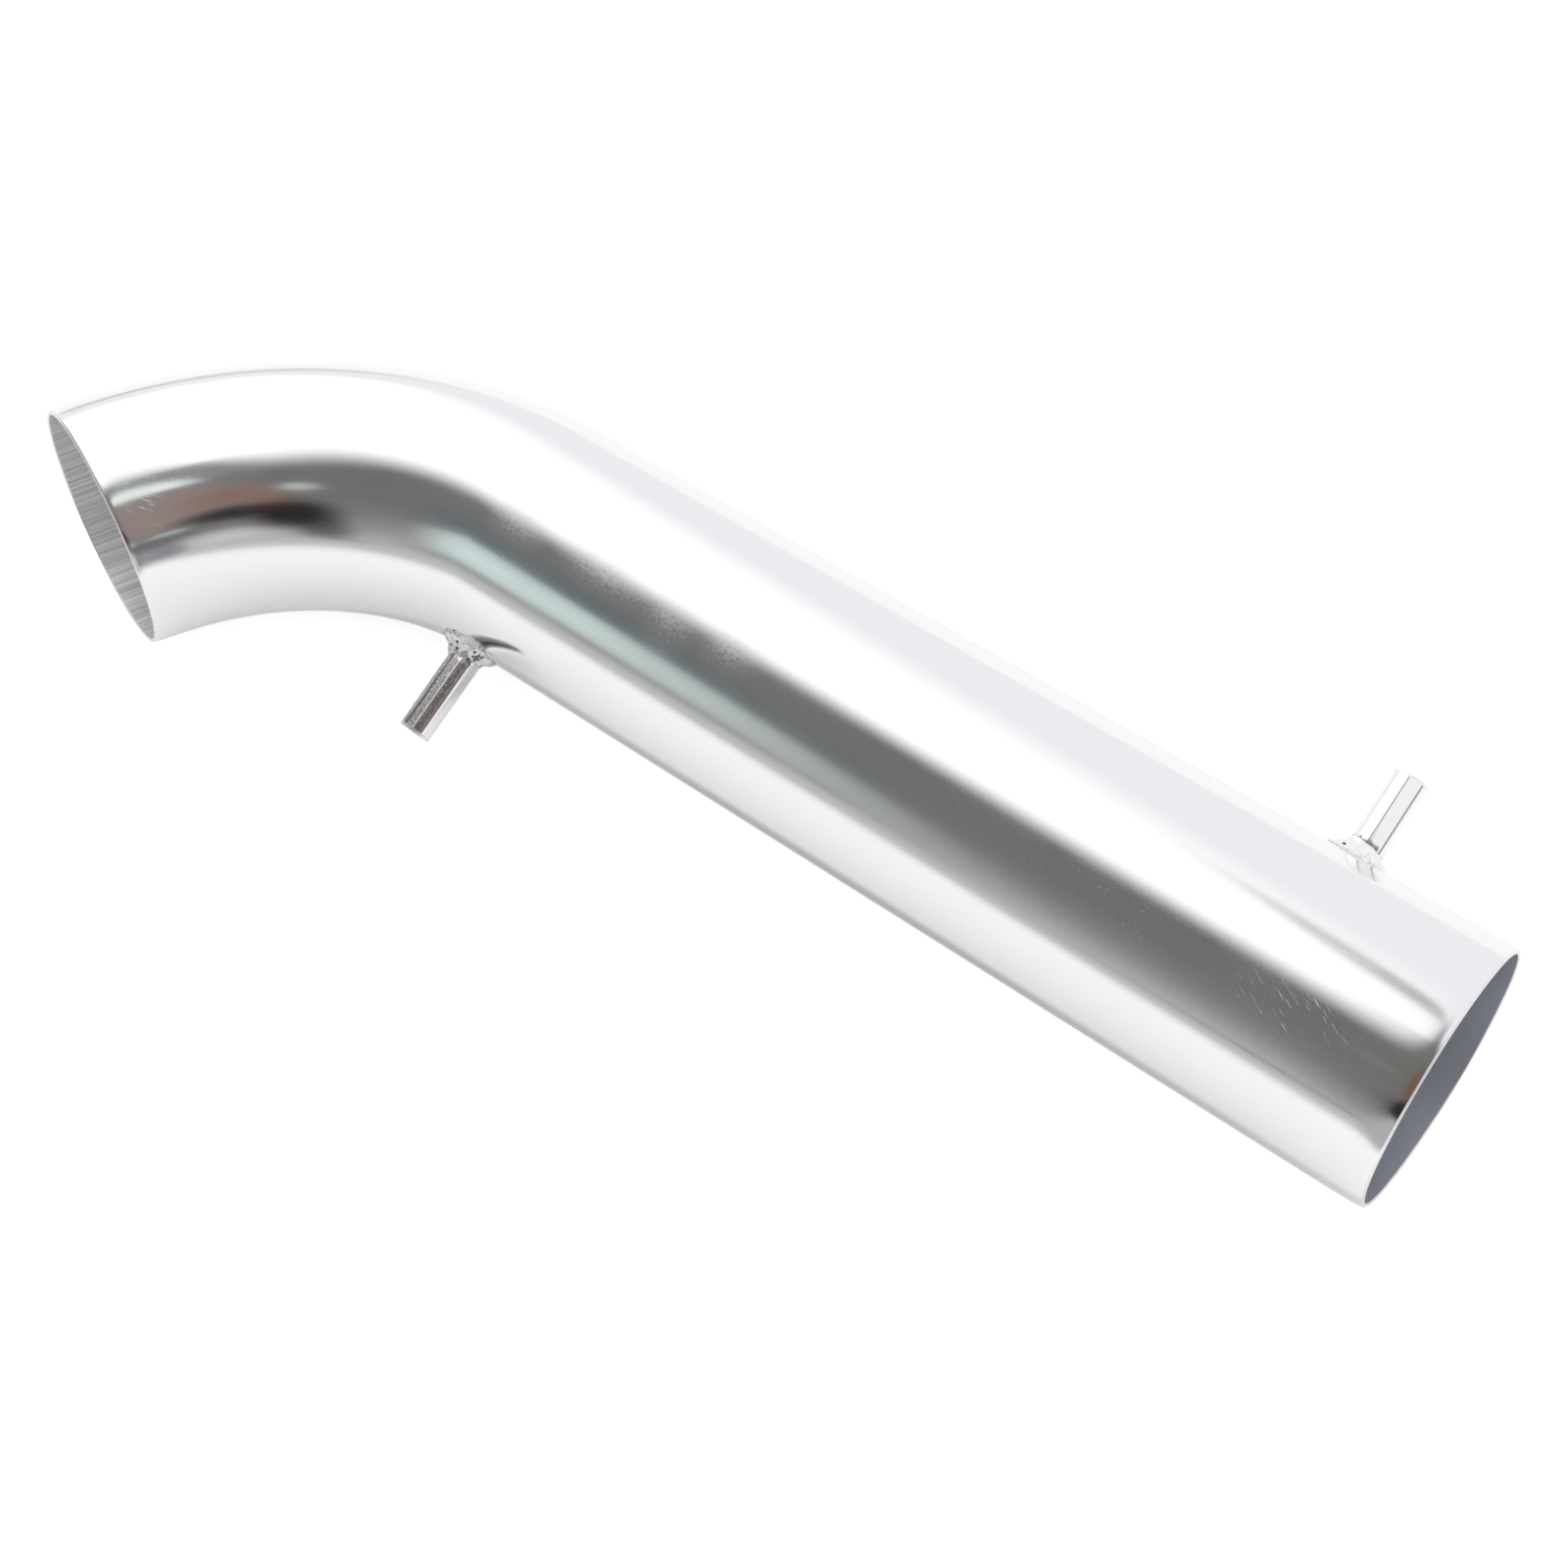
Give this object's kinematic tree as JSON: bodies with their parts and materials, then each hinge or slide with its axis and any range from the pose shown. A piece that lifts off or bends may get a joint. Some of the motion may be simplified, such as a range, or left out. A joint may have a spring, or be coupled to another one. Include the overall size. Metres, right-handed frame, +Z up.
{
  "type": "air intake pipe",
  "caption": "Bent round aluminium air intake tube with open plain ends and small hose nipples welded to opposite sides.",
  "frame": {"origin": "middle of the long end's mouth, on the pipe's axis", "axes": "+X out of the long end along the straight leg's axis; +Z up, square to the plane of the bend, with the pipe lying on its side; the bend turns towards -Y"},
  "size_m": [0.4497, 0.1506, 0.0762],
  "materials": {
    "pipe_metal": "mirror polished drawn tube with fine handling scratches",
    "nipple_metal": "polished small tube",
    "weld_metal": "as-welded bead, brushed, with small dark pores"
  },
  "bodies": {
    "root": {"pipe": "pipe_metal", "end_nipple": "nipple_metal", "bend_nipple": "nipple_metal", "end_weld": "weld_metal", "bend_weld": "weld_metal"}
  },
  "joints": []
}
